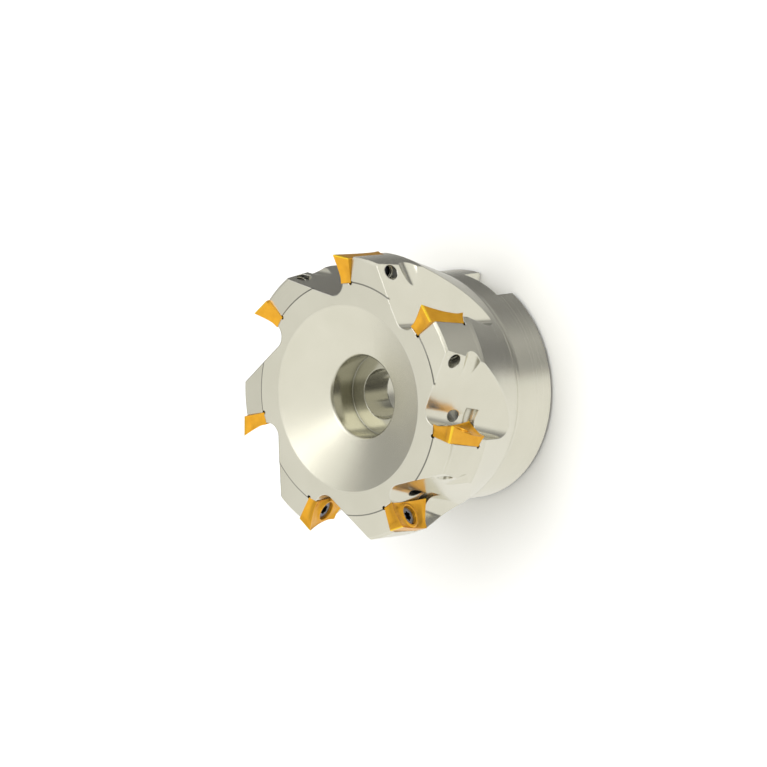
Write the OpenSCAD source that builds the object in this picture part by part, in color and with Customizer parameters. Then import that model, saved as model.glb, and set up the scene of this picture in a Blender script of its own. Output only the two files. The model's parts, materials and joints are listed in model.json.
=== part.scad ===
// Indexable face mill: a shell body for a 22 mm arbor, with seven clamped inserts.
// The cutter's axis is Z. The back face is at z = 0 and the cutting plane is at z = height.

/* [Cutter] */
// Diameter over the cutting corners
cutting_d = 63; // [61:0.5:65]
// Distance from the back face to the cutting plane
height = 40; // [39:0.5:42]
// Number of inserts
teeth = 7; // [5:1:7]
// Angle of the first cutting corner from the drive slot
first_tooth_angle = 28; // [20:1:36]

/* [Body] */
// Diameter over the lands behind the inserts
land_d = 62; // [61:0.25:62.25]
// Diameter of the hub that seats on the arbor
hub_d = 50; // [48:0.5:50]
// Height of the straight part of the hub
hub_h = 10.5; // [9:0.5:11]
// Radius of the fillet between the hub and the cone
hub_fillet_r = 3.4; // [2:0.2:3.6]
// Distance of the lands' back edge from the cutting plane
land_l = 12.4; // [12:0.2:13]
// Distance of the front face from the cutting plane
face_drop = 1; // [0.6:0.1:1.4]
// Diameter of the raised flat ring on the front face
face_ring_d = 51; // [50:0.5:52]
// Fall of the teeth's front faces, from the ring to the land
face_relief = 0.4; // [0.1:0.1:0.8]
// Bevel of the teeth's outer corners
corner_bevel = 0.5; // [0.3:0.1:0.7]
// Bevel of the hub's back edge
hub_bevel = 0.8; // [0.3:0.1:1]

/* [Bore] */
// Diameter of the arbor bore
bore_d = 22; // [22:0.01:22.02]
// Depth of the arbor bore
bore_depth = 20; // [19:0.5:21]
// Diameter of the coolant groove at the end of the bore
groove_d = 23; // [22.5:0.1:24]
// Width of the coolant groove
groove_w = 2.4; // [2:0.1:3]
// Diameter of the hole for the arbor screw
screw_hole_d = 11; // [10.5:0.25:11.5]
// Diameter of the counterbore for the arbor screw's head
head_bore_d = 18; // [17:0.25:18.5]
// Distance of the counterbore's floor from the cutting plane
head_floor = 12.4; // [12:0.2:13]
// Outer diameter of the dished front face
dish_d = 40.6; // [38:0.2:42]
// Depth of the dish at the counterbore, from the front face
dish_depth = 4.7; // [4:0.1:5.2]
// Width of the drive slot
slot_w = 10.4; // [10:0.1:10.6]
// Depth of the drive slot
slot_depth = 5.8; // [5.6:0.1:6.3]
// Bevel of the bore's mouth
bore_bevel = 0.8; // [0.3:0.1:1]

/* [Flutes] */
// Angle of the flute to the axis, seen from outside
flute_tilt = 12.2; // [11:0.2:13]
// Outward rise of the flute's floor towards the hub
flute_rise = 10.9; // [10:0.2:12]
// Radius of the flute's floor
flute_r = 2.8; // [2.6:0.1:2.9]
// Distance of the floor's centre from the cutter's axis, at the front face
flute_x = 25.3; // [25:0.1:25.6]
// Distance of the floor's centre ahead of the cutting corner
flute_y = 1.6; // [1.4:0.1:1.8]
// Angle of the flute's wall on the insert's side
flute_seat_angle = -7; // [-8:0.5:-6]
// Angle of the flute's wall on the next tooth's side
flute_back_angle = 72.8; // [71:0.2:74]

/* [Inserts] */
// Axial rake of the seats
axial_rake = 9.2; // [8.5:0.1:10]
// Radial rake of the seats, negative outwards
radial_rake = 7.2; // [6.5:0.1:8]
// Width of an insert at its base
insert_w = 5.4; // [5.2:0.1:5.6]
// Length of an insert at its base, square to its ends
insert_l = 9.8; // [9.6:0.1:10]
// Height of an insert at its two cutting corners
insert_h = 4.1; // [4:0.05:4.3]
// Height of an insert's flat round the screw
insert_flat_h = 2.85; // [2.75:0.05:3]
// Height of an insert at its two blunt corners
insert_blunt_h = 2.5; // [2.3:0.1:2.7]
// Relief angle of the long sides
side_relief = 8; // [7:0.5:9]
// Relief angle of the ends
end_relief = 14; // [12:0.5:15]
// Skew of the long sides
side_skew = 1.5; // [1:0.25:2]
// Skew of the ends
end_skew = 8; // [7:0.5:9]
// Gap between an insert and its pocket
seat_gap = 0.02; // [0.01:0.01:0.04]

/* [Screws] */
// Thread diameter of an insert screw
screw_d = 3; // [2.9:0.05:3]
// Length of an insert screw, head included
screw_l = 8; // [7.5:0.25:8]
// Diameter of an insert screw's head
screw_head_d = 4.2; // [4:0.1:4.3]
// Height of the rim of the head
screw_rim_h = 0.4; // [0.3:0.05:0.5]
// Height of the top of the head above the seat
screw_top = 2.25; // [2.1:0.05:2.4]
// Radial clearance of a screw in its tapped hole
thread_gap = 0.03; // [0.02:0.01:0.06]
// Radial clearance of a screw in the insert's hole
hole_gap = 0.15; // [0.1:0.05:0.2]
// Size of the six-lobe socket over its lobes
socket_d = 2.4; // [2.2:0.05:2.5]
// Depth of the six-lobe socket
socket_depth = 1.1; // [0.8:0.1:1.2]

/* [Holes] */
// Diameter of the coolant holes
coolant_d = 2.6; // [2.2:0.1:2.8]
// Diameter of the key's way over each insert screw
key_way_d = 6.1; // [6:0.1:6.5]
// Diameter of the relief at an insert's inner cutting corner
corner_relief_d = 3.4; // [3:0.1:3.6]
// Height of that relief above the seat
corner_relief_h = 6.8; // [6:0.2:7]
// Diameter of the grooves along a pocket's two edges
edge_groove_d = 0.9; // [0.6:0.1:1]

/* [Hidden] */
$fn = 96;
steel = [0.75, 0.74, 0.69];
coating = [0.93, 0.6, 0.1];
dark_steel = [0.28, 0.31, 0.4];
over = 0.5;
reach = 30;
pitch_angle = 360 / teeth;
hub_r = hub_d / 2;
land_r = land_d / 2;
front_z = height - face_drop;
land_z = height - land_l;
// the cone between the hub's fillet and the lands
fillet_rise = hub_fillet_r * sin(45);
cone_z = hub_h + fillet_rise;
cone_r = hub_r + hub_fillet_r * (1 - cos(45));
cone_slope = (land_r - cone_r) / (land_z - cone_z);
// a small step sets the front ring off from the teeth
ring_step = 0.15;
fillet_over = 0.2;
bore_r = bore_d / 2;
dish_r = dish_d / 2;
dish_floor_z = front_z - dish_depth;
head_floor_z = height - head_floor;
head_bore_r = head_bore_d / 2;
head_bevel = 0.4;
// the flute's walls are tangents of its floor
flute_wall = 26;
flute_front = 8;
flute_l = 42;
seat_side = [cos(flute_seat_angle), sin(flute_seat_angle)];
back_side = [cos(flute_back_angle), sin(flute_back_angle)];
seat_tangent = flute_r * [seat_side[1], -seat_side[0]];
back_tangent = flute_r * [-back_side[1], back_side[0]];
// an insert's half sizes at the height of its cutting corners
tip_half_w = insert_w / 2 + insert_h * tan(side_relief);
tip_half_l = insert_l / 2 + insert_h * tan(end_relief);
skew_fall = cos(side_skew - end_skew);
tip_u = (tip_half_w * cos(end_skew) - tip_half_l * sin(side_skew)) / skew_fall;
tip_w = (tip_half_l * cos(side_skew) + tip_half_w * sin(end_skew)) / skew_fall;
// the middle of the insert's base, from the cutting corner, in the tooth's frame
along_u = [cos(radial_rake), -sin(radial_rake), 0];
along_n = [sin(radial_rake) * cos(axial_rake), cos(radial_rake) * cos(axial_rake), -sin(axial_rake)];
along_w = [sin(radial_rake) * sin(axial_rake), cos(radial_rake) * sin(axial_rake), cos(axial_rake)];
corner = [cutting_d / 2, 0, height];
seat_origin = corner - tip_u * along_u - insert_h * along_n - tip_w * along_w;
pocket_h = insert_h + over;
pocket_half_w = insert_w / 2 + seat_gap;
pocket_half_l = insert_l / 2 + seat_gap;
ridge_slope = 12.5;
ridge_side_slope = 10;
ridge_start = 0.6;
blunt_slope = 8;
blunt_side_slope = 17;
screw_r = screw_d / 2;
head_r = screw_head_d / 2;
head_cone_angle = 30;
head_cone_h = (head_r - screw_r) / tan(head_cone_angle);
head_seat = screw_top - screw_rim_h - head_cone_h;
tip_bevel = 0.4;
tapped_l = 20;
tapped_r = screw_r + thread_gap;
lobe_ring = 0.58 * socket_d;
lobe_r = 0.2 * socket_d;
// the coolant holes run from the groove in the bore to the flutes
coolant_mouth = [24.4, 0.1, height - 8];
coolant_start = [groove_d / 2 - 0.8, 0, bore_depth - groove_w / 2];
coolant_run = coolant_mouth - coolant_start;
coolant_l = norm(coolant_run);
coolant_lean = acos(coolant_run[2] / coolant_l);
coolant_turn = atan2(coolant_run[1], coolant_run[0]);
mouth_run = 3;

// children in the frame of one tooth, whose cutting corner is on +X
module at_tooth(k) {
    rotate([0, 0, first_tooth_angle + (k - 1) * pitch_angle]) children();
}

// children in the frame of one seat: X across the insert, Y off the seat, Z along the insert
module at_seat(k) {
    at_tooth(k) translate(seat_origin) rotate([-axial_rake, 0, -radial_rake]) children();
}

// a cylinder that stands off the seat
module off_seat(r, low, high) {
    translate([0, low, 0]) rotate([-90, 0, 0]) cylinder(r = r, h = high - low);
}

// a sloped slab across the insert's long sides, from half width a at its base
module side_slab(low, high, left, right, slope) {
    rotate([0, -side_skew, 0])
        linear_extrude(height = 2 * reach, center = true)
            polygon([
                [-left - low * slope, low],
                [right + low * slope, low],
                [right + high * slope, high],
                [-left - high * slope, high]
            ]);
}

// a sloped slab across the insert's ends
module end_slab(low, high, back, front, slope) {
    rotate([0, -end_skew - 90, 0])
        linear_extrude(height = 2 * reach, center = true)
            polygon([
                [-back - low * slope, low],
                [front + low * slope, low],
                [front + high * slope, high],
                [-back - high * slope, high]
            ]);
}

// half of the turned body's section, with all that is bored on the axis
module turned_section() {
    difference() {
        polygon([
            [bore_r + bore_bevel, 0],
            [hub_r - hub_bevel, 0],
            [hub_r, hub_bevel],
            [hub_r, hub_h],
            [cone_r + fillet_over, hub_h],
            [cone_r + fillet_over, cone_z + fillet_over / cone_slope],
            [land_r, land_z],
            [land_r, front_z - face_relief - corner_bevel],
            [land_r - corner_bevel, front_z - face_relief],
            [face_ring_d / 2, front_z - ring_step],
            [face_ring_d / 2, front_z],
            [dish_r, front_z],
            [head_bore_r + head_bevel, dish_floor_z],
            [head_bore_r, dish_floor_z - head_bevel],
            [head_bore_r, head_floor_z],
            [screw_hole_d / 2, head_floor_z],
            [screw_hole_d / 2, bore_depth],
            [groove_d / 2, bore_depth],
            [groove_d / 2, bore_depth - groove_w],
            [bore_r, bore_depth - groove_w],
            [bore_r, bore_bevel]
        ]);
        translate([hub_r + hub_fillet_r, hub_h]) circle(r = hub_fillet_r);
    }
}

// the slot that the arbor's two drive keys enter
module drive_slot() {
    translate([-reach, -slot_w / 2, -over]) cube([2 * reach, slot_w, slot_depth + over]);
}

// the chip flute ahead of one insert
module flute() {
    translate([flute_x, flute_y, height - face_drop])
        rotate([-flute_tilt, -flute_rise, 0])
            translate([0, 0, flute_front - flute_l])
                linear_extrude(height = flute_l) {
                    circle(r = flute_r);
                    polygon([
                        [0, 0],
                        seat_tangent,
                        seat_tangent + flute_wall * seat_side,
                        back_tangent + flute_wall * back_side,
                        back_tangent
                    ]);
                }
}

// the pocket that holds one insert, open ahead, outwards and to the front
module pocket() {
    intersection() {
        side_slab(-seat_gap, pocket_h, pocket_half_w, reach, tan(side_relief));
        end_slab(-seat_gap, pocket_h, pocket_half_l, reach, tan(end_relief));
    }
}

// the grooves along a pocket's edges and the hole at its inner corner
module pocket_reliefs() {
    translate([-tip_u, 0, -tip_w]) off_seat(corner_relief_d / 2, 0, corner_relief_h);
    rotate([0, -side_skew, 0])
        translate([-pocket_half_w, 0, -pocket_half_l]) cylinder(d = edge_groove_d, h = reach);
    rotate([0, -end_skew, 0])
        translate([-pocket_half_w, 0, -pocket_half_l])
            rotate([0, 90, 0]) cylinder(d = edge_groove_d, h = reach);
}

// the tapped hole and the way for the key, both on the insert screw's axis
module screw_way() {
    off_seat(tapped_r, -tapped_l, over);
    off_seat(key_way_d / 2, insert_h, reach);
}

// the hole that brings coolant to one flute
module coolant_hole() {
    translate(coolant_start)
        rotate([0, coolant_lean, coolant_turn])
            cylinder(d = coolant_d, h = coolant_l + mouth_run);
}

// the turned body with its slot and all its round holes
module drilled_blank() {
    difference() {
        rotate_extrude() turned_section();
        drive_slot();
        for (k = [1:teeth]) {
            at_seat(k) pocket_reliefs();
            at_seat(k) screw_way();
            at_tooth(k) coolant_hole();
        }
    }
}

// the drilled body with its flutes
module fluted_blank() {
    difference() {
        drilled_blank();
        for (k = [1:teeth]) {
            at_tooth(k) flute();
        }
    }
}

module cutter_body() {
    color(steel)
        difference() {
            fluted_blank();
            for (k = [1:teeth]) {
                at_seat(k) pocket();
            }
        }
}

// the insert's outline with its reliefs, up to height h
module insert_blank(h) {
    intersection() {
        side_slab(0, h, insert_w / 2, insert_w / 2, tan(side_relief));
        end_slab(0, h, insert_l / 2, insert_l / 2, tan(end_relief));
    }
}

// all that lies below a plane that falls away from a cutting corner
module below_ridge() {
    translate([tip_u, insert_h, tip_w])
        rotate([-ridge_slope, 0, ridge_side_slope])
            translate([-reach, -2 * reach, -reach]) cube([2 * reach, 2 * reach, 2 * reach]);
}

// all that lies above a plane that falls to a blunt corner
module above_blunt() {
    translate([tip_u, insert_blunt_h, -tip_w])
        rotate([-blunt_slope, 0, -blunt_side_slope])
            translate([-reach, 0, -reach]) cube([2 * reach, reach, 2 * reach]);
}

module insert(k) {
    color(coating)
        at_seat(k)
            difference() {
                union() {
                    insert_blank(insert_flat_h);
                    for (turn = [0, 180]) {
                        rotate([0, turn, 0])
                            intersection() {
                                insert_blank(insert_h);
                                below_ridge();
                                translate([-reach, 0, ridge_start]) cube([2 * reach, reach, reach]);
                            }
                    }
                }
                for (turn = [0, 180]) {
                    rotate([0, turn, 0]) above_blunt();
                }
                off_seat(screw_r + hole_gap, -over, insert_h);
                translate([0, head_seat - seat_gap, 0])
                    rotate([-90, 0, 0])
                        cylinder(r1 = screw_r + seat_gap, r2 = head_r + 2 * seat_gap, h = head_cone_h);
                off_seat(head_r + 2 * seat_gap, head_seat + head_cone_h - seat_gap, insert_h + over);
            }
}

// the outline of the six-lobe socket
module socket_outline() {
    difference() {
        circle(d = socket_d);
        for (a = [30:60:330]) {
            rotate(a) translate([lobe_ring, 0]) circle(r = lobe_r);
        }
    }
}

module insert_screw(k) {
    color(dark_steel)
        at_seat(k)
            rotate([-90, 0, 0])
                difference() {
                    union() {
                        translate([0, 0, screw_top - screw_l])
                            cylinder(r1 = screw_r - tip_bevel, r2 = screw_r, h = tip_bevel);
                        translate([0, 0, screw_top - screw_l + tip_bevel])
                            cylinder(r = screw_r, h = screw_l - tip_bevel - screw_rim_h);
                        translate([0, 0, head_seat]) cylinder(r1 = screw_r, r2 = head_r, h = head_cone_h);
                        translate([0, 0, screw_top - screw_rim_h]) cylinder(r = head_r, h = screw_rim_h);
                    }
                    translate([0, 0, screw_top - socket_depth])
                        linear_extrude(height = socket_depth + over) socket_outline();
                }
}

cutter_body();
insert(1);  // insert_1
insert(2);  // insert_2
insert(3);  // insert_3
insert(4);  // insert_4
insert(5);  // insert_5
insert(6);  // insert_6
insert(7);  // insert_7
insert_screw(1);  // insert_screw_1
insert_screw(2);  // insert_screw_2
insert_screw(3);  // insert_screw_3
insert_screw(4);  // insert_screw_4
insert_screw(5);  // insert_screw_5
insert_screw(6);  // insert_screw_6
insert_screw(7);  // insert_screw_7
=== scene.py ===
import json
import math

import bmesh
import bpy
from mathutils import Matrix, Vector


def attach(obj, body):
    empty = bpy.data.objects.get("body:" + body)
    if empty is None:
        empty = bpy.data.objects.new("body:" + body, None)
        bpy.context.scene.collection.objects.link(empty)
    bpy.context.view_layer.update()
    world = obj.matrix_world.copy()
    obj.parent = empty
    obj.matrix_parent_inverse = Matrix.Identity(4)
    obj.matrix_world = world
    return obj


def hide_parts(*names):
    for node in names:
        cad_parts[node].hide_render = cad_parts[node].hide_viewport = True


MM = 0.001

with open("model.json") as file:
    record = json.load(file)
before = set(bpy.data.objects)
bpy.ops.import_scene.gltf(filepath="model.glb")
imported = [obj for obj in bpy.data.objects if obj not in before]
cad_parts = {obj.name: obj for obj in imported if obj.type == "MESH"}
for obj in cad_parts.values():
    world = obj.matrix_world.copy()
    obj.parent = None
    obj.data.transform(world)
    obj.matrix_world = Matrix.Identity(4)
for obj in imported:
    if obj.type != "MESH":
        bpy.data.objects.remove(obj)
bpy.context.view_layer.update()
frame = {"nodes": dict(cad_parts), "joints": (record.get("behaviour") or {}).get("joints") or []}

# ---------------------------------------------------------------- camera
# The cutting face is seen from 42 degrees off its axis, which lies to the left.
VIEW_FORWARD = Vector((-0.3503, 0.5760, -0.7386))
VIEW_RIGHT = Vector((0.2704, -0.6928, -0.6685))
FRAME_WIDTH = 166.43 * MM
# the middle of the view, from the middle of the cutting plane
AIM_RIGHT = 8.363 * MM
AIM_UP = 3.369 * MM
CUTTING_PLANE = 40 * MM
# a long lens, since the view is nearly parallel
LENS = 900.0
SENSOR_W = 36.0


def make_camera():
    forward = VIEW_FORWARD.normalized()
    right = (VIEW_RIGHT - VIEW_RIGHT.dot(forward) * forward).normalized()
    up = right.cross(forward).normalized()
    data = bpy.data.cameras.new("camera")
    data.lens = LENS
    data.sensor_width = SENSOR_W
    data.clip_end = 20.0
    camera = bpy.data.objects.new("camera", data)
    bpy.context.scene.collection.objects.link(camera)
    target = Vector((0, 0, CUTTING_PLANE)) + right * AIM_RIGHT + up * AIM_UP
    distance = FRAME_WIDTH * LENS / SENSOR_W
    turn = Matrix((right, up, -forward)).transposed().to_4x4()
    camera.matrix_world = Matrix.Translation(target - forward * distance) @ turn
    bpy.context.scene.camera = camera
    return right, up, forward


right, up, forward = make_camera()
centre = Vector((0, 0, CUTTING_PLANE / 2))


# ---------------------------------------------------------------- node helpers
class Nodes:
    """Short calls for building a node tree."""

    def __init__(self, material):
        material.use_nodes = True
        self.tree = material.node_tree
        self.tree.nodes.clear()

    def add(self, kind, inputs=None, **settings):
        node = self.tree.nodes.new(kind)
        for key, value in settings.items():
            setattr(node, key, value)
        for key, value in (inputs or {}).items():
            socket = node.inputs[key]
            if isinstance(value, bpy.types.NodeSocket):
                self.tree.links.new(value, socket)
            else:
                socket.default_value = value
        return node

    def math(self, operation, a, b=0.0):
        return self.add("ShaderNodeMath", {0: a, 1: b}, operation=operation).outputs[0]

    def vector(self, operation, a, b=(0, 0, 0)):
        node = self.add("ShaderNodeVectorMath", {0: a, 1: b}, operation=operation)
        return node.outputs["Value"] if operation in ("DOT_PRODUCT", "LENGTH") else node.outputs[0]

    def ramp(self, value, stops):
        """Colours between stops, each a position and a colour."""
        node = self.add("ShaderNodeValToRGB", {0: value})
        elements = node.color_ramp.elements
        while len(elements) < len(stops):
            elements.new(0.5)
        for element, (position, colour) in zip(elements, stops):
            element.position = position
            element.color = colour
        return node.outputs[0]

    def span(self, value, low, high, to_low=0.0, to_high=1.0):
        """Maps a value from low..high to to_low..to_high, and holds it there."""
        node = self.add("ShaderNodeMapRange", {0: value, 1: low, 2: high, 3: to_low, 4: to_high})
        return node.outputs[0]

    def mix(self, factor, a, b):
        # a mix node's colours are its inputs 6 and 7, and its output 2
        sockets = {0: factor, 6: a, 7: b}
        return self.add("ShaderNodeMix", sockets, data_type="RGBA").outputs[2]

    def noise(self, vector, scale, detail=3.0, roughness=0.55):
        node = self.add(
            "ShaderNodeTexNoise",
            {"Vector": vector, "Scale": scale, "Detail": detail, "Roughness": roughness},
        )
        return node.outputs["Fac"]

    def bump(self, height, strength, distance, normal=None):
        inputs = {"Strength": strength, "Distance": distance, "Height": height}
        if normal is not None:
            inputs["Normal"] = normal
        return self.add("ShaderNodeBump", inputs).outputs[0]

    def metal(self, colour, roughness, metallic, normal):
        """A principled shader, joined to the material's output."""
        inputs = {
            "Base Color": colour,
            "Roughness": roughness,
            "Metallic": metallic,
            "Normal": normal,
        }
        self.finish(self.add("ShaderNodeBsdfPrincipled", inputs).outputs[0])

    def finish(self, shader):
        out = self.add("ShaderNodeOutputMaterial")
        self.tree.links.new(shader, out.inputs["Surface"])


def place_in_mm(n):
    """The point in millimetres, in the part's own frame."""
    coordinates = n.add("ShaderNodeTexCoord").outputs["Object"]
    return n.vector("MULTIPLY", coordinates, (1000.0, 1000.0, 1000.0))


# ---------------------------------------------------------------- body
# places on the body, in millimetres
HEAD_BORE_R = 9.0
HEAD_BORE_FLOOR = 27.6
FACE_H = 39.0
FACE_STEP_R = 25.5
# tones of the steel, and of its painted highlight and painted shade
STEEL_TONES = ((0.735, 0.715, 0.61, 1.0), (0.77, 0.75, 0.645, 1.0))
MARK_TONE = (0.57, 0.555, 0.48, 1.0)
RUBBED_AND_HIGHLIGHT_TONE = (0.9, 0.89, 0.84, 1.0)
BORE_SHADE_TONE = (0.2, 0.195, 0.12, 1.0)
STEP_SHADE_TONE = (0.1, 0.1, 0.085, 1.0)
CREVICE_SHADE_TONE = (0.06, 0.06, 0.05, 1.0)
TURNED_ROUGHNESS = 0.27
MILLED_ROUGHNESS = 0.2
BORED_POLISH = 0.12
EDGE_R = 0.34 * MM
CREVICE_REACH = 3.0 * MM


def turned_share(n, x, y, normal):
    """1 on turned surfaces, whose normals have no component along the tangent, and 0 elsewhere."""
    back_y = n.math("MULTIPLY", y, -1.0)
    tangent = n.add("ShaderNodeCombineXYZ", {0: back_y, 1: x, 2: 0.0}).outputs[0]
    tangent = n.vector("NORMALIZE", tangent)
    across = n.math("ABSOLUTE", n.vector("DOT_PRODUCT", normal, tangent))
    return n.span(across, 0.06, 0.14, 1.0, 0.0)


def tool_marks(n, place, radius, z, turned, milled):
    """Faint lines: round the axis on turned surfaces, and across the flutes on milled ones."""
    lay = n.add("ShaderNodeCombineXYZ", {0: n.math("ADD", radius, z), 1: 0.0, 2: 0.0}).outputs[0]
    rings = n.noise(lay, 7.0, 3.0, 0.55)
    lines = n.noise(n.vector("MULTIPLY", place, (0.25, 0.25, 5.0)), 1.0, 3.0, 0.6)
    return n.math("ADD", n.math("MULTIPLY", rings, turned), n.math("MULTIPLY", lines, milled))


def steel_material():
    material = bpy.data.materials.new("body_steel")
    n = Nodes(material)
    place = place_in_mm(n)
    x, y, z = n.add("ShaderNodeSeparateXYZ", {0: place}).outputs
    radius = n.math("SQRT", n.math("ADD", n.math("MULTIPLY", x, x), n.math("MULTIPLY", y, y)))
    normal = n.add("ShaderNodeNewGeometry").outputs["True Normal"]
    turned = turned_share(n, x, y, normal)
    milled = n.math("SUBTRACT", 1.0, turned)
    marks = tool_marks(n, place, radius, z, turned, milled)
    colour = n.ramp(n.noise(place, 0.12, 3.0, 0.5), list(zip((0.3, 0.7), STEEL_TONES)))
    colour = n.mix(n.span(marks, 0.3, 0.7, 0.0, 0.03), colour, MARK_TONE)
    # the edges are rounded, and painted bright along them: rubbed wear and a painted highlight
    rounded = n.add("ShaderNodeBevel", {"Radius": EDGE_R}, samples=6).outputs[0]
    edge = n.span(n.vector("DOT_PRODUCT", rounded, normal), 0.8, 0.985, 1.0, 0.0)
    colour = n.mix(n.math("MULTIPLY", edge, 0.75), colour, RUBBED_AND_HIGHLIGHT_TONE)
    # the counterbore and the screw's hole are smoother, and painted darker as shade inside the recess,
    # most of all low down
    bored_finish_and_shade = n.span(radius, HEAD_BORE_R + 0.15, HEAD_BORE_R + 0.3, 1.0, 0.0)
    bored_finish_and_shade = n.math("MULTIPLY", bored_finish_and_shade, n.span(z, HEAD_BORE_FLOOR + 2.4, FACE_H, 1.0, 0.8))
    colour = n.mix(n.math("MULTIPLY", bored_finish_and_shade, 0.42), colour, BORE_SHADE_TONE)
    # painted shade: a dark line in the corner of the small step on the face
    from_step = n.math("ABSOLUTE", n.math("SUBTRACT", radius, FACE_STEP_R))
    step_shade_line = n.span(from_step, 0.08, 0.2, 1.0, 0.0)
    step_shade_line = n.math("MULTIPLY", step_shade_line, n.span(z, FACE_H - 0.6, FACE_H - 0.4))
    colour = n.mix(n.math("MULTIPLY", step_shade_line, 0.75), colour, STEP_SHADE_TONE)
    # painted shade: holes and tight corners are darkened where their ambient occlusion is high
    open_share = n.add("ShaderNodeAmbientOcclusion", {"Distance": CREVICE_REACH}, samples=6)
    crevice_shade = n.span(open_share.outputs["AO"], 0.2, 0.56, 0.92, 0.0)
    colour = n.mix(crevice_shade, colour, CREVICE_SHADE_TONE)
    rough = n.math(
        "ADD",
        n.math("MULTIPLY", turned, TURNED_ROUGHNESS),
        n.math("MULTIPLY", milled, MILLED_ROUGHNESS),
    )
    rough = n.math("SUBTRACT", rough, n.math("MULTIPLY", bored_finish_and_shade, BORED_POLISH))
    rough = n.math("ADD", rough, n.span(marks, 0.25, 0.75, -0.004, 0.006))
    grain = n.noise(place, 4.0, 2.0, 0.6)
    height = n.math("ADD", n.math("MULTIPLY", marks, 0.8), n.math("MULTIPLY", grain, 0.2))
    n.metal(colour, rough, 0.9, n.bump(height, 0.01, 0.001 * MM, rounded))
    return material


# ---------------------------------------------------------------- coatings
COAT_BUMP = 0.15
COAT_BUMP_H = 0.02 * MM


def gold_material(name, dark, light):
    """The inserts' coating, with a faint cloud and a fine grain."""
    material = bpy.data.materials.new(name)
    n = Nodes(material)
    place = place_in_mm(n)
    colour = n.ramp(n.noise(place, 0.6, 4.0, 0.6), [(0.3, dark), (0.7, light)])
    grain = n.noise(place, 9.0, 3.0, 0.7)
    rough = n.span(grain, 0.3, 0.7, 0.26, 0.36)
    n.metal(colour, rough, 0.75, n.bump(grain, COAT_BUMP, COAT_BUMP_H))
    return material


def screw_material(name, dark, light):
    """The screws' oxide, a little rougher and finer in its grain."""
    material = bpy.data.materials.new(name)
    n = Nodes(material)
    place = place_in_mm(n)
    colour = n.ramp(n.noise(place, 1.2, 4.0, 0.6), [(0.3, dark), (0.7, light)])
    grain = n.noise(place, 12.0, 3.0, 0.7)
    rough = n.span(grain, 0.3, 0.7, 0.28, 0.42)
    n.metal(colour, rough, 0.85, n.bump(grain, COAT_BUMP, COAT_BUMP_H))
    return material


def floor_material():
    material = bpy.data.materials.new("floor")
    n = Nodes(material)
    place = place_in_mm(n)
    tones = [(0.3, (0.9, 0.9, 0.895, 1.0)), (0.7, (0.93, 0.93, 0.925, 1.0))]
    tone = n.ramp(n.noise(place, 0.004, 2.0), tones)
    shader = n.add("ShaderNodeBsdfPrincipled", {"Base Color": tone, "Roughness": 0.9})
    shader.inputs["Specular IOR Level"].default_value = 0.1
    n.finish(shader.outputs[0])
    return material


steel = steel_material()
oxide = screw_material("screw_oxide", (0.2, 0.225, 0.29, 1.0), (0.27, 0.3, 0.38, 1.0))
# near black: painted shade on the walls of the screws' socket recess
socket = screw_material("screw_socket_shade", (0.012, 0.013, 0.016, 1.0), (0.03, 0.032, 0.038, 1.0))
gold = gold_material("insert_coating", (0.78, 0.37, 0.024, 1.0), (0.88, 0.45, 0.036, 1.0))
# a lighter copy of the coating: a painted highlight on the faces at each cutting corner
lit_corner_coating = gold_material("insert_corner_highlight", (0.95, 0.62, 0.03, 1.0), (1.0, 0.68, 0.05, 1.0))
frame["nodes"]["cutter_body"].data.materials.clear()
frame["nodes"]["cutter_body"].data.materials.append(steel)


# ---------------------------------------------------------------- seats
CUTTING_R = 31.5
CUTTER_H = CUTTING_PLANE / MM
RADIAL_RAKE = math.radians(7.2)
# an insert's half sizes at its base, its reliefs and its skews
BASE_HALF_W = 2.7
BASE_HALF_L = 4.9
SIDE_RELIEF = math.tan(math.radians(8))
END_RELIEF = math.tan(math.radians(14))
SIDE_SKEW = math.radians(1.5)
END_SKEW = math.radians(8)
TIP_H = 4.1
BLUNT_H = 2.3


def across_and_along(a, b, height, hollow=0.0):
    """Places a point by its shares of the half width and the half length at that height."""
    side = a * (BASE_HALF_W + height * SIDE_RELIEF)
    end = b * (BASE_HALF_L + height * END_RELIEF - hollow)
    fall = math.cos(SIDE_SKEW - END_SKEW)
    u = (side * math.cos(END_SKEW) - end * math.sin(SIDE_SKEW)) / fall
    w = (side * math.sin(END_SKEW) + end * math.cos(SIDE_SKEW)) / fall
    return u, w


def shares(u, w, height):
    """The inverse of across_and_along."""
    side = u * math.cos(SIDE_SKEW) + w * math.sin(SIDE_SKEW)
    end = w * math.cos(END_SKEW) - u * math.sin(END_SKEW)
    return side / (BASE_HALF_W + height * SIDE_RELIEF), end / (BASE_HALF_L + height * END_RELIEF)


class Seat:
    """The frame of one insert: u across it, n off its seat, w along it, in millimetres."""

    def __init__(self, axis):
        self.n = Vector(axis).normalized()
        self.u = Vector((self.n.y, -self.n.x, 0)).normalized()
        self.w = self.u.cross(self.n)
        turn = math.atan2(self.n.y, self.n.x) - math.pi / 2 + RADIAL_RAKE
        corner = Vector((CUTTING_R * math.cos(turn), CUTTING_R * math.sin(turn), CUTTER_H))
        tip_u, tip_w = across_and_along(1, 1, TIP_H)
        self.origin = corner - tip_u * self.u - TIP_H * self.n - tip_w * self.w

    def place(self, u, n, w):
        return (self.origin + u * self.u + n * self.n + w * self.w) * MM

    def round(self, r, angle, n):
        """A point at radius r about the screw's axis."""
        return self.place(r * math.cos(angle), n, r * math.sin(angle))


# faces that meet at more than this stay sharp
SHARP_ANGLE = math.radians(48)


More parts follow.
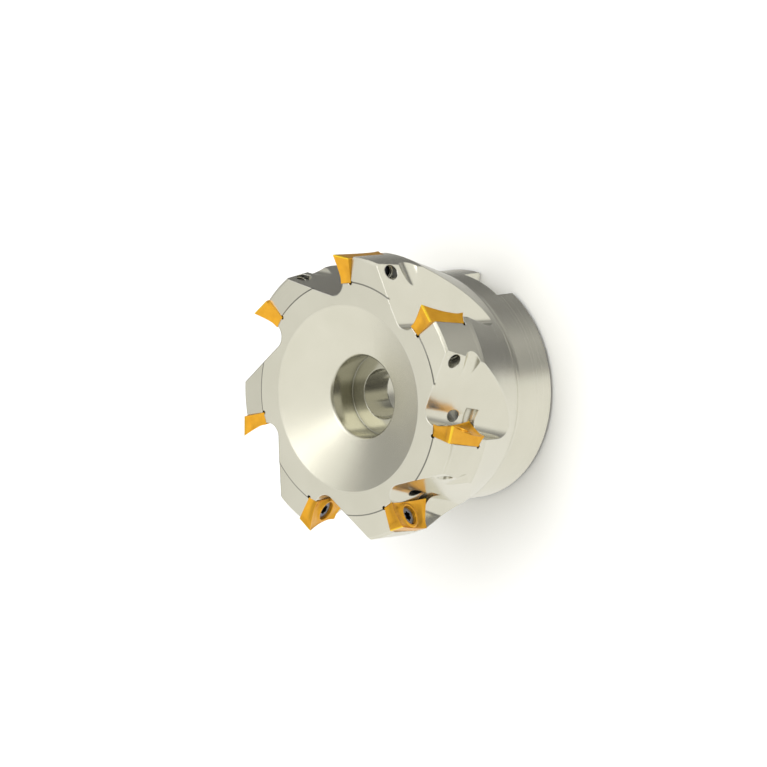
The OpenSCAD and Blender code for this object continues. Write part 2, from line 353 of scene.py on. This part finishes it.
def loops_to_piece(name, loops, material, caps=(), joined=False, patch=None):
    """Joins loops of points by quads. A cap is the index of a loop and the point that closes it.

    A patch is a second material and a test that picks its faces by row and column.
    """
    mesh = bmesh.new()
    rows = [[mesh.verts.new(point) for point in loop] for loop in loops]
    pairs = list(zip(rows, rows[1:]))
    if joined:
        pairs.append((rows[-1], rows[0]))
    for row, (first, second) in enumerate(pairs):
        for i in range(len(first)):
            j = (i + 1) % len(first)
            face = mesh.faces.new((first[i], first[j], second[j], second[i]))
            face.material_index = int(patch is not None and patch[1](row, i))
    for index, point in caps:
        middle = mesh.verts.new(point)
        row = rows[index]
        for i in range(len(row)):
            face = mesh.faces.new((row[i], row[(i + 1) % len(row)], middle))
            face.material_index = int(patch is not None and patch[1](index, i))
    bmesh.ops.recalc_face_normals(mesh, faces=mesh.faces)
    data = bpy.data.meshes.new(name)
    mesh.to_mesh(data)
    mesh.free()
    data.materials.append(material)
    if patch is not None:
        data.materials.append(patch[0])
    data.shade_smooth()
    data.set_sharp_from_angle(angle=SHARP_ANGLE)
    piece = bpy.data.objects.new(name, data)
    bpy.context.scene.collection.objects.link(piece)
    return piece


# ---------------------------------------------------------------- inserts
HEAD_R = 2.14
HOLE_R = 1.65
HEAD_SEAT = 1.83
HOLE_TOP = 1.01
RING_R = 2.42
RING_TOP = 2.9
RING_MOUTH = 2.2
RING_CURVE = 1.6
# heights of the cutting edges: at the middle, their slope and their curve
SIDE_WAVE = (2.72, 0.9, 0.48)
END_WAVE = (3.02, 0.9, 0.18)
# rough half sizes of the rake face, for distances from its edges
RAKE_HALF_W = 3.2
RAKE_HALF_L = 6.0
FAR = 9.0
# the raised nib at each blunt corner, and the groove behind the edges
NIB_H = 0.3
NIB_REACH = 1.1
GROOVE_DEPTH = 0.26
GROOVE_AT = 0.75
SOFTNESS = 0.06
HOLLOW_DEPTH = 0.2
# points along each side, and the steps up the flanks and in across the rake face
SIDE_POINTS = 22
FLANK_STEPS = (0.0, 0.25, 0.45, 0.65, 0.82, 0.93)
RAKE_STEPS = (0.03, 0.08, 0.15, 0.24, 0.34, 0.45, 0.56, 0.67, 0.78, 0.87, 0.94, 1.0)
HONE = 0.07
# how far the nose of a cutting corner is rounded back
NOSE_CUT = 0.12


def ease(x, low, high):
    """A soft step from 0 at low to 1 at high."""
    t = min(max((x - low) / (high - low), 0.0), 1.0)
    return t * t * (3 - 2 * t)


def edge_height(wave, share):
    middle, slope, curve = wave
    return middle + slope * share + curve * share * share


def rake_height(a, b):
    """The rake face: it rises to two cutting corners, with a groove behind its edges."""
    sides = (1 + a) * edge_height(SIDE_WAVE, b) + (1 - a) * edge_height(SIDE_WAVE, -b)
    ends = (1 + b) * edge_height(END_WAVE, a) + (1 - b) * edge_height(END_WAVE, -a)
    corners = (1 + a * b) * TIP_H + (1 - a * b) * BLUNT_H
    height = 0.5 * (sides + ends - corners)
    from_side = (1 - abs(a)) * RAKE_HALF_W
    from_end = (1 - abs(b)) * RAKE_HALF_L
    from_blunt = math.hypot(from_side, from_end) if a * b < 0 else FAR
    nib = math.exp(-((from_blunt / NIB_REACH) ** 2))
    edge = from_side * from_end / math.hypot(from_side + 1e-9, from_end)
    groove = GROOVE_DEPTH * edge / GROOVE_AT * math.exp(1 - edge / GROOVE_AT)
    height += NIB_H * nib - groove * (1 - nib)
    u, w = across_and_along(a, b, height)
    ring = RING_TOP - RING_CURVE * (math.hypot(u, w) - RING_R) ** 2
    # the higher of the face and the ring, blended where they meet
    return SOFTNESS * math.log(math.exp(height / SOFTNESS) + math.exp(ring / SOFTNESS))


def flank_hollow(a, b, share):
    """The hollow in the ends' flanks, which stops short of the cutting corner."""
    if abs(b) != 1:
        return 0.0
    along = ease(-a * b, -0.62, -0.36)
    return HOLLOW_DEPTH * along * ease(share, 0.0, 0.5) * ease(1 - share, 0.0, 0.5)


def rim_point(seat, a, b, height, hollow=0.0, inward=0.0):
    """A point on a flank, drawn in towards the middle, and further so at a cutting corner."""
    u, w = across_and_along(a, b, height, hollow)
    cut = inward + (NOSE_CUT if abs(a + b) == 2 else 0.0)
    size = 1 - cut / math.hypot(u, w)
    return seat.place(u * size, height, w * size)


def on_lit_corner(row, column):
    """The two faces on either side of a cutting corner, from the base to the honed edge, which take the
    painted highlight.
    """
    corners = (SIDE_POINTS, 3 * SIDE_POINTS)
    return row < len(FLANK_STEPS) + 2 and (column in corners or column + 1 in corners)


def make_insert(name, seat):
    steps = [-1 + 2 * i / SIDE_POINTS for i in range(SIDE_POINTS)]
    rim = [(1, b) for b in steps] + [(-a, 1) for a in steps]
    rim += [(-a, -b) for a, b in rim]
    heights = [rake_height(a, b) for a, b in rim]
    points = list(zip(rim, heights))
    angles = []
    for (a, b), h in points:
        u, w = across_and_along(a, b, h)
        angles.append(math.atan2(w, u))
    mouth = [shares(RING_MOUTH * math.cos(t), RING_MOUTH * math.sin(t), RING_TOP) for t in angles]
    loops = []
    for share in FLANK_STEPS:
        loops.append([rim_point(seat, a, b, h * share, flank_hollow(a, b, share)) for (a, b), h in points])
    loops.append([rim_point(seat, a, b, h - HONE) for (a, b), h in points])
    # the honed cutting edge
    inward, drop = 0.2 * HONE, 0.3 * HONE
    loops.append([rim_point(seat, a, b, h - drop, inward=inward) for (a, b), h in points])
    for share in RAKE_STEPS:
        loop = []
        for (a, b), (c, d) in zip(rim, mouth):
            x, y = a + (c - a) * share, b + (d - b) * share
            h = rake_height(x, y)
            u, w = across_and_along(x, y, h)
            loop.append(seat.place(u, h, w))
        loops.append(loop)
    lip = ((RING_MOUTH - 0.03, RING_TOP - 0.16), (HEAD_R, RING_TOP - 0.3))
    hole = ((HEAD_R, HEAD_SEAT), (HOLE_R, HOLE_TOP), (HOLE_R, 0.0))
    for r, n in lip + hole:
        loops.append([seat.round(r, t, n) for t in angles])
    # the faces at the cutting corners take the painted highlight
    return loops_to_piece(name, loops, gold, joined=True, patch=(lit_corner_coating, on_lit_corner))


# ---------------------------------------------------------------- screws
SCREW_TOP = 2.25
SCREW_L = 8.0
THREAD_R = 1.5
THREAD_ROOT = 1.22
PITCH = 0.5
LOBE_R = 1.03
LOBE_RISE = 0.17
SOCKET_DEPTH = 1.1
# the socket's size and its depth below the head's top, from its floor to its mouth
SOCKET_PROFILE = ((0.6, SOCKET_DEPTH), (0.97, SOCKET_DEPTH - 0.12), (1.0, 0.1), (1.07, 0.02))
# rows of the socket's walls that take the painted shade
SOCKET_SHADE_ROWS = 2
# the head's and the neck's radius and depth below the head's top
HEAD_PROFILE = (
    (1.5, 0.0),
    (1.86, 0.03),
    (2.0, 0.09),
    (2.08, 0.2),
    (2.1, 0.3),
    (2.1, 0.4),
    (1.52, 1.42),
    (1.5, 1.5),
    (1.5, 1.8),
    (1.34, 2.0),
)
# the thread starts below the neck and stops before the screw's point
THREAD_START = 2.2
POINT_L = 0.35
ROUND_POINTS = 48
THREAD_STEPS = 6


def lobe(angle, size):
    """Radius of the six-lobe socket."""
    return size * (LOBE_R + LOBE_RISE * math.cos(6 * angle))


def thread_radius(n, angle, crest):
    """Radius of the thread at height n, with a flat crest and a narrow root."""
    phase = (n / PITCH - angle / math.tau) % 1.0
    flank = min(max(abs(phase - 0.5) * 2.6 - 0.65, 0.0), 1.0)
    return THREAD_ROOT + (crest - THREAD_ROOT) * (1 - flank)


def make_screw(name, seat):
    angles = [math.tau * i / ROUND_POINTS for i in range(ROUND_POINTS)]
    loops = []
    for size, depth in SOCKET_PROFILE:
        loops.append([seat.round(lobe(t, size), t, SCREW_TOP - depth) for t in angles])
    for r, depth in HEAD_PROFILE:
        loops.append([seat.round(r, t, SCREW_TOP - depth) for t in angles])
    start = SCREW_TOP - THREAD_START
    end = SCREW_TOP - SCREW_L + POINT_L
    rows = round((start - end) / PITCH * THREAD_STEPS)
    for i in range(rows + 1):
        n = start + (end - start) * i / rows
        # the thread runs in over its first turn
        fade = min(1.0, 0.25 + i / THREAD_STEPS)
        crest = THREAD_ROOT + (THREAD_R - THREAD_ROOT) * fade
        loops.append([seat.round(thread_radius(n, t, crest), t, n) for t in angles])
    for r, n in ((1.15, end - 0.2), (0.95, SCREW_TOP - SCREW_L)):
        loops.append([seat.round(r, t, n) for t in angles])
    bottom = seat.place(0, SCREW_TOP - SOCKET_DEPTH - 0.15, 0)
    point = seat.place(0, SCREW_TOP - SCREW_L, 0)
    caps = ((0, bottom), (len(loops) - 1, point))
    # the socket's walls take the near-black painted shade
    socket_shade_patch = (socket, lambda row, column: row < SOCKET_SHADE_ROWS)
    return loops_to_piece(name, loops, oxide, caps=caps, patch=socket_shade_patch)


# ---------------------------------------------------------------- threads in the body
TAPPED_R = 1.525
THREAD_CREST = 1.28
OUTLET_GAP = 0.15
OUTLET_TURNS = 2.6
OUTLET_STEPS = 90
RUN_OUT_STEPS = 8
# half widths of a turn at the hole's wall and at its crest
TURN_ROOT_HALF = 0.19
TURN_CREST_HALF = 0.04


def make_thread(name, seat):
    """The turns of the tapped hole that show behind the screw's tip."""
    start = SCREW_TOP - SCREW_L - OUTLET_GAP
    end = start - OUTLET_TURNS * PITCH
    loops = []
    for i in range(OUTLET_STEPS + 1):
        n = start + (end - start) * i / OUTLET_STEPS
        angle = math.tau * (start - n) / PITCH
        rise = min(1.0, min(i, OUTLET_STEPS - i) / RUN_OUT_STEPS)
        crest = THREAD_CREST + (TAPPED_R - THREAD_CREST) * (1 - rise)
        section = (
            (TAPPED_R, n + TURN_ROOT_HALF),
            (crest, n + TURN_CREST_HALF),
            (crest, n - TURN_CREST_HALF),
            (TAPPED_R, n - TURN_ROOT_HALF),
        )
        loops.append([seat.round(r, angle, level) for r, level in section])
    first, last = (sum(loops[i], Vector()) / 4 for i in (0, -1))
    return loops_to_piece(name, loops, steel, caps=((0, first), (OUTLET_STEPS, last)))


# every insert's joint draws it square to its seat, so the joint's axis sets the seat
axes = {joint["child"]: joint["axis"] for joint in frame["joints"]}
inserts = sorted(name for name in axes if "screw" not in name)
for name in inserts:
    seat = Seat(axes[name])
    insert = make_insert(name + "_looks", seat)
    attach(insert, name)
    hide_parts(name)
    screw_name = name.replace("insert", "insert_screw")
    screw = make_screw(screw_name + "_looks", seat)
    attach(screw, screw_name)
    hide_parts(screw_name)
    thread = make_thread(name.replace("insert", "tapped_thread"), seat)
    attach(thread, "cutter")


# ---------------------------------------------------------------- stage
FLOOR_HALF = 3.0
FLOOR_Z = -0.02 * MM
WALL = (0.93, 0.925, 0.89, 1.0)
PANEL = (0.42, 0.42, 0.41, 1.0)
SCREEN = (0.32, 0.32, 0.31, 1.0)
CEILING = (0.12, 0.12, 0.125, 1.0)
DIM_FIELD = (0.26, 0.25, 0.19, 1.0)
KEY = (2.6, 2.6, 2.55, 1.0)


def make_floor():
    mesh = bpy.data.meshes.new("floor")
    corners = [(x * FLOOR_HALF, y * FLOOR_HALF, FLOOR_Z) for x, y in ((-1, -1), (1, -1), (1, 1), (-1, 1))]
    mesh.from_pydata(corners, [], [(0, 1, 2, 3)])
    floor = bpy.data.objects.new("floor", mesh)
    floor.data.materials.append(floor_material())
    bpy.context.scene.collection.objects.link(floor)
    floor.visible_glossy = False


def area_light(name, direction, distance, side, power):
    """A square light that shines at the cutter and isn't mirrored in it."""
    data = bpy.data.lights.new(name, "AREA")
    data.shape = "RECTANGLE"
    data.size = data.size_y = side
    data.energy = power
    light = bpy.data.objects.new(name, data)
    bpy.context.scene.collection.objects.link(light)
    d = direction.normalized()
    light.location = centre + d * distance
    light.rotation_mode = "QUATERNION"
    light.rotation_quaternion = d.to_track_quat("Z", "Y")
    light.visible_glossy = False


def blob(n, direction, middle, low, high):
    """1 near a direction, given as right, up and towards the camera, falling to 0 away from it."""
    aim = (right * middle[0] + up * middle[1] - forward * middle[2]).normalized()
    return n.span(n.vector("DOT_PRODUCT", direction, tuple(aim)), low, high)


def make_world():
    """A bright studio, with a dark ceiling, a striped wall, a grey screen, a dim field and a key."""
    world = bpy.data.worlds.new("studio")
    bpy.context.scene.world = world
    n = Nodes(world)
    direction = n.add("ShaderNodeTexCoord").outputs["Generated"]
    tone = n.mix(blob(n, direction, (0.05, 0.72, -0.69), 0.8, 0.95), WALL, CEILING)
    rise = n.vector("DOT_PRODUCT", direction, tuple(up))
    side = n.span(n.vector("DOT_PRODUCT", direction, tuple(right)), 0.3, 0.5)
    side = n.math("MULTIPLY", side, n.span(n.vector("DOT_PRODUCT", direction, tuple(forward)), -0.1, 0.08))
    stripes = [(0.10, WALL), (0.14, CEILING), (0.24, CEILING), (0.5, PANEL), (0.74, CEILING)]
    panel = n.ramp(rise, stripes)
    tone = n.mix(side, tone, panel)
    tone = n.mix(blob(n, direction, (-0.85, 0.28, -0.45), 0.72, 0.95), tone, SCREEN)
    tone = n.mix(blob(n, direction, (0.02, -0.15, 0.99), 0.86, 0.96), tone, DIM_FIELD)
    tone = n.mix(blob(n, direction, (-0.45, 0.5, 0.72), 0.92, 0.96), tone, KEY)
    background = n.add("ShaderNodeBackground", {0: tone, 1: 1.0})
    out = n.add("ShaderNodeOutputWorld")
    n.tree.links.new(background.outputs[0], out.inputs[0])


make_floor()
make_world()
area_light("top", Vector((0.1, 0.1, 1.0)), 1.6, 1.6, 14.0)
area_light("sky", right * 0.8 + up * 0.6 - forward * 0.05, 1.0, 0.4, 9.0)
bpy.context.scene.view_settings.view_transform = "Standard"
